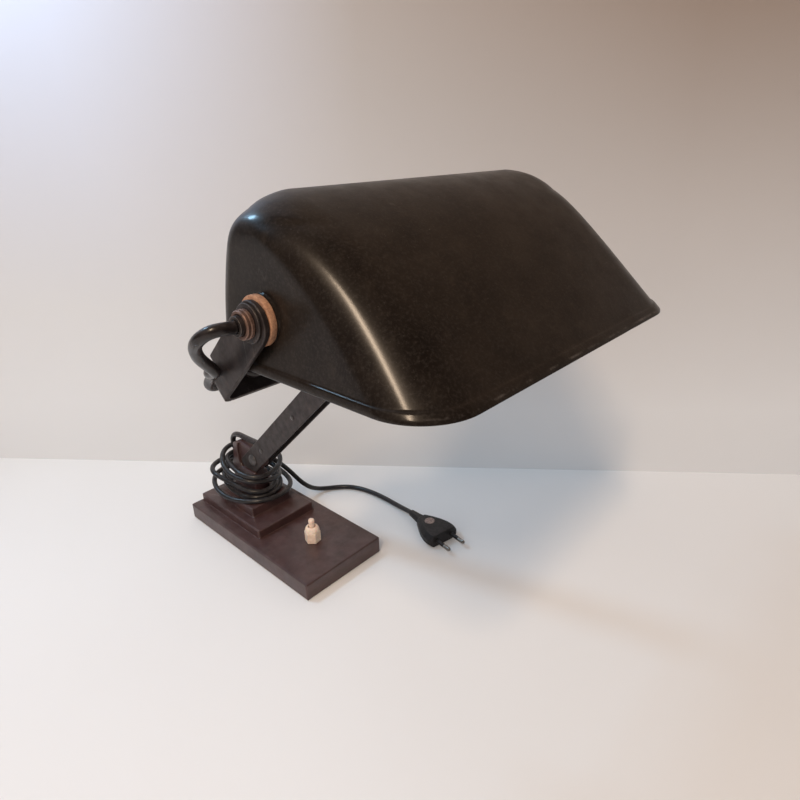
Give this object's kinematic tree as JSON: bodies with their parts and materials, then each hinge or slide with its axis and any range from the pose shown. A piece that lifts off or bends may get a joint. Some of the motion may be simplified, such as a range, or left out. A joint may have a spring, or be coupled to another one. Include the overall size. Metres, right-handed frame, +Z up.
{
  "type": "banker desk lamp",
  "caption": "Desk lamp with a wide tilting trough shade on a flat two-bar arm, hinged to a column on a stepped oblong base with a push switch and coiled mains cord.",
  "frame": {"origin": "centre of the base plate, on the surface it stands on", "axes": "+X to the right along the shade, +Y to the back, so -Y is the front that the shade reaches over, +Z up"},
  "size_m": [0.2933, 0.4257, 0.3445],
  "materials": {
    "brown_bakelite": "mottled dark brown phenolic moulding, worn satin",
    "dark_bakelite": "near-black phenolic moulding, satin gloss with dust and fine scratches",
    "blackened_steel": "old dark paint over steel strip, rubbed and rust-flecked at the edges",
    "bare_steel": "dull plated steel",
    "tarnished_brass": "brown tarnished brass",
    "red_fibre": "vulcanised fibre, worn",
    "ivory_urea": "yellowed ivory moulding",
    "black_rubber": "black cable sheath, satin",
    "cast_iron": "rough casting",
    "dark_felt": "dark felt",
    "porcelain": "white porcelain",
    "opal_glass": "opal glass",
    "black_plastic": "black moulded plastic",
    "grey_label": "plain pale disc"
  },
  "bodies": {
    "base": {"ballast_weight": "cast_iron", "base_moulding": "brown_bakelite", "bottom_cover": "blackened_steel", "bottom_screw_1": "bare_steel", "bottom_screw_2": "bare_steel", "bottom_screw_3": "bare_steel", "bottom_screw_4": "bare_steel", "column": "brown_bakelite", "column_screw_front": "bare_steel", "column_screw_rear": "bare_steel", "cord_coil_high": "black_rubber", "cord_coil_low": "black_rubber", "cord_gland": "black_rubber", "cord_lead_in": "black_rubber", "cord_tail": "black_rubber", "felt_pad": "dark_felt", "knuckle_lead": "black_rubber", "pin_sleeve_left": "black_plastic", "pin_sleeve_right": "black_plastic", "plug_body": "black_plastic", "plug_label": "grey_label", "plug_pin_left": "bare_steel", "plug_pin_right": "bare_steel", "switch_body": "porcelain", "switch_collar": "ivory_urea", "switch_nut": "ivory_urea", "terminal_block": "porcelain"},
    "button": {"switch_button": "ivory_urea"},
    "arm": {"arm_bar_left": "blackened_steel", "arm_bar_right": "blackened_steel", "spacer_rivet_lower": "blackened_steel", "spacer_rivet_upper": "blackened_steel", "spacer_sleeve_lower": "blackened_steel", "spacer_sleeve_upper": "blackened_steel", "block_rivet": "blackened_steel", "hinge_screw": "bare_steel", "hinge_nut": "bare_steel", "yoke_strap": "blackened_steel", "yoke_block": "blackened_steel", "yoke_screw": "bare_steel", "lead_sleeve": "black_rubber", "arm_lead": "black_rubber"},
    "shade": {"shade_shell": "dark_bakelite", "fibre_washer_left": "red_fibre", "fibre_washer_right": "red_fibre", "outer_washer_left": "blackened_steel", "outer_washer_right": "blackened_steel", "pivot_nut_left": "tarnished_brass", "pivot_nut_right": "tarnished_brass", "stud_left": "tarnished_brass", "stud_right": "tarnished_brass", "stud_inner_nut": "tarnished_brass", "stud_lead": "black_rubber", "holder_cap": "black_plastic", "holder_skirt": "black_plastic", "holder_insulator": "porcelain", "bulb_cap": "tarnished_brass", "bulb_glass": "opal_glass"}
  },
  "joints": [
    {"name": "arm_lift", "type": "hinge", "parent": "base", "child": "arm", "pos_m": [0, 0.0251, 0.0795], "axis": [-1, 0, 0], "range_deg": [-35, 8]},
    {"name": "shade_tilt", "type": "hinge", "parent": "arm", "child": "shade", "pos_m": [0, -0.1972, 0.2883], "axis": [-1, 0, 0], "range_deg": [-40, 60]},
    {"name": "button_press", "type": "slide", "parent": "base", "child": "button", "axis": [0, 0, -1], "range_m": [0, 0.003], "stiffness_N_per_m": 400}
  ]
}
